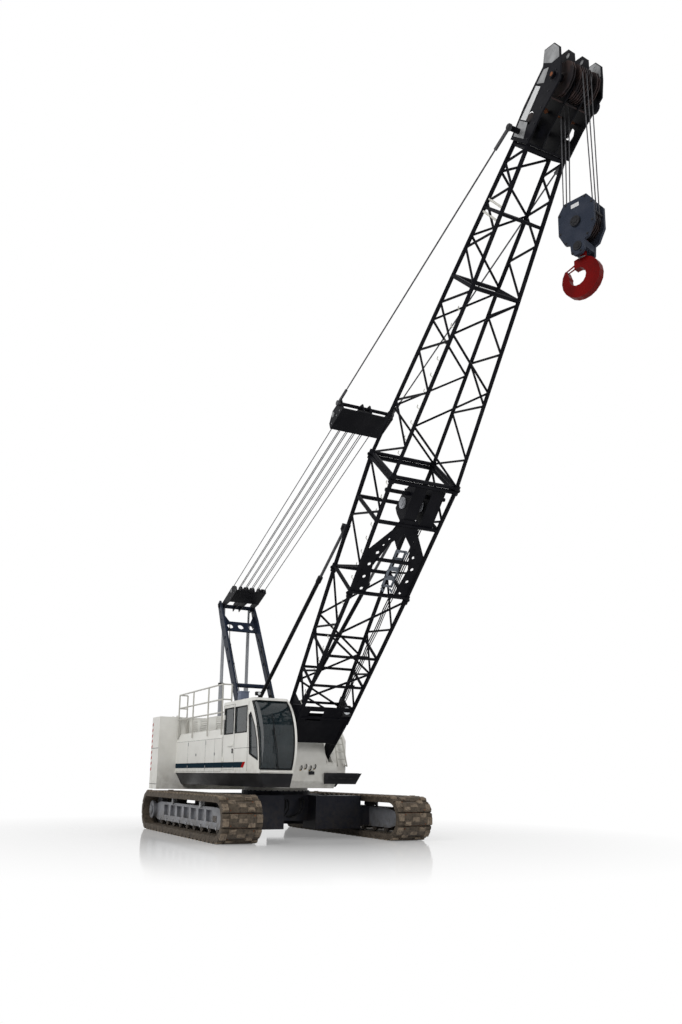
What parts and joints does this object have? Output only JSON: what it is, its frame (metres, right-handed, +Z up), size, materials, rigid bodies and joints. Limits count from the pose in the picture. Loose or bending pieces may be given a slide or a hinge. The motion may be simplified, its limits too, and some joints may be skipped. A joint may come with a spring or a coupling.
{
  "type": "crawler crane",
  "caption": "Lattice-boom crawler crane with swinging upper works, luffing boom, gantry, bridle, hoisting hook block, boom stops and a cab with an opening door.",
  "frame": {"origin": "on the ground below the slewing axis", "axes": "+X forward along the tracks and the boom, +Y to the machine's left, +Z up along the slewing axis"},
  "size_m": [16.9887, 5.2, 13.3332],
  "materials": {
    "paint_cream": "gloss",
    "paint_dark": "satin",
    "paint_boom": "satin",
    "paint_grey": "satin",
    "paint_steel": "satin",
    "paint_red": "satin",
    "shoe_steel": "rough",
    "roller_steel": "rough",
    "sheave_steel": "rough",
    "rope_steel": "brushed",
    "rail_white": "gloss",
    "tinted_glass": "polished",
    "seat_fabric": "woven",
    "console_plastic": "matte",
    "engine_iron": "rough"
  },
  "bodies": {
    "undercarriage": {"carbody": "paint_dark", "track_frame_right": "paint_steel", "track_frame_left": "paint_steel", "track_right": "shoe_steel", "track_left": "shoe_steel", "track_wheels_right": "roller_steel", "track_wheels_left": "roller_steel", "drive_sprocket_right": "paint_steel", "drive_sprocket_left": "paint_steel"},
    "upper": {"deck": "paint_cream", "side_skirts": "paint_dark", "step_box": "paint_dark", "counterweight_lower": "paint_cream", "counterweight_middle": "paint_cream", "counterweight_upper": "paint_cream", "machinery_house": "paint_cream", "engine_house": "paint_cream", "engine_block": "engine_iron", "exhaust_stack": "paint_dark", "cab_shell": "paint_cream", "cab_glass": "tinted_glass", "operator_seat": "seat_fabric", "cab_console": "console_plastic", "roof_handrail": "rail_white", "side_ladder": "rail_white", "gantry": "paint_boom", "gantry_struts": "paint_grey", "hoist_winches": "paint_grey", "luffing_winch": "paint_grey"},
    "door": {"cab_door": "paint_cream", "cab_door_glass": "tinted_glass"},
    "boom": {"boom_butt": "paint_boom", "boom_frame": "paint_boom", "boom_top": "paint_boom", "boom_head": "paint_grey", "head_sheaves": "sheave_steel"},
    "stop_tubes": {"boom_stop_tubes": "paint_boom"},
    "stop_rods": {"boom_stop_rods": "rope_steel"},
    "line": {"gantry_bail": "paint_boom"},
    "bridle_body": {"bridle": "paint_boom", "pendants": "rope_steel"},
    "falls": {"hoist_falls": "rope_steel"},
    "block": {"hook_block": "paint_dark", "block_sheaves": "sheave_steel"},
    "hook_body": {"hook": "paint_red"}
  },
  "joints": [
    {"name": "swing", "type": "hinge", "parent": "undercarriage", "child": "upper", "pos_m": [0, 0, 1.09], "axis": [0, 0, 1], "continuous": true},
    {"name": "door_hinge", "type": "hinge", "parent": "upper", "child": "door", "pos_m": [0.333, -1.6163, 2.3], "axis": [0, 0, -1], "range_deg": [0, 95]},
    {"name": "luff", "type": "hinge", "parent": "upper", "child": "boom", "pos_m": [1.6, 0, 1.93], "axis": [0, -1, 0], "range_deg": [-37, 32]},
    {"name": "stop_swing", "type": "hinge", "parent": "upper", "child": "stop_tubes", "pos_m": [-1.5, 0, 2.195], "axis": [0, -1, 0], "range_deg": [-27, 25]},
    {"name": "stop_slide", "type": "slide", "parent": "stop_tubes", "child": "stop_rods", "axis": [0.8162, 0, 0.5778], "range_m": [-1.2, 1.25]},
    {"name": "line_swing", "type": "hinge", "parent": "upper", "child": "line", "pos_m": [-3.53, 0, 6.5], "axis": [0, -1, 0], "range_deg": [-31, 28]},
    {"name": "line_slide", "type": "slide", "parent": "line", "child": "bridle_body", "axis": [0.9287, 0, 0.3707], "range_m": [-3.4, 3.9]},
    {"name": "falls_plumb", "type": "hinge", "parent": "boom", "child": "falls", "pos_m": [11.95479, 0, 12.68979], "axis": [0, -1, 0], "range_deg": [-33, 38]},
    {"name": "hoist", "type": "slide", "parent": "falls", "child": "block", "axis": [0, 0, 1], "range_m": [-8, 0.5], "deforming": ["hoist_falls"]},
    {"name": "hook_swivel", "type": "hinge", "parent": "block", "child": "hook_body", "pos_m": [11.95479, 0, 9.66979], "axis": [0, 0, 1], "continuous": true}
  ],
  "couplings": [
    {"joint": "stop_swing", "follows": "luff", "ratio": 0.68},
    {"joint": "stop_slide", "follows": "luff", "m_per_rad": -1.85},
    {"joint": "line_swing", "follows": "luff", "ratio": 0.8},
    {"joint": "line_slide", "follows": "luff", "m_per_rad": -5.8},
    {"joint": "falls_plumb", "follows": "luff", "ratio": -1}
  ]
}
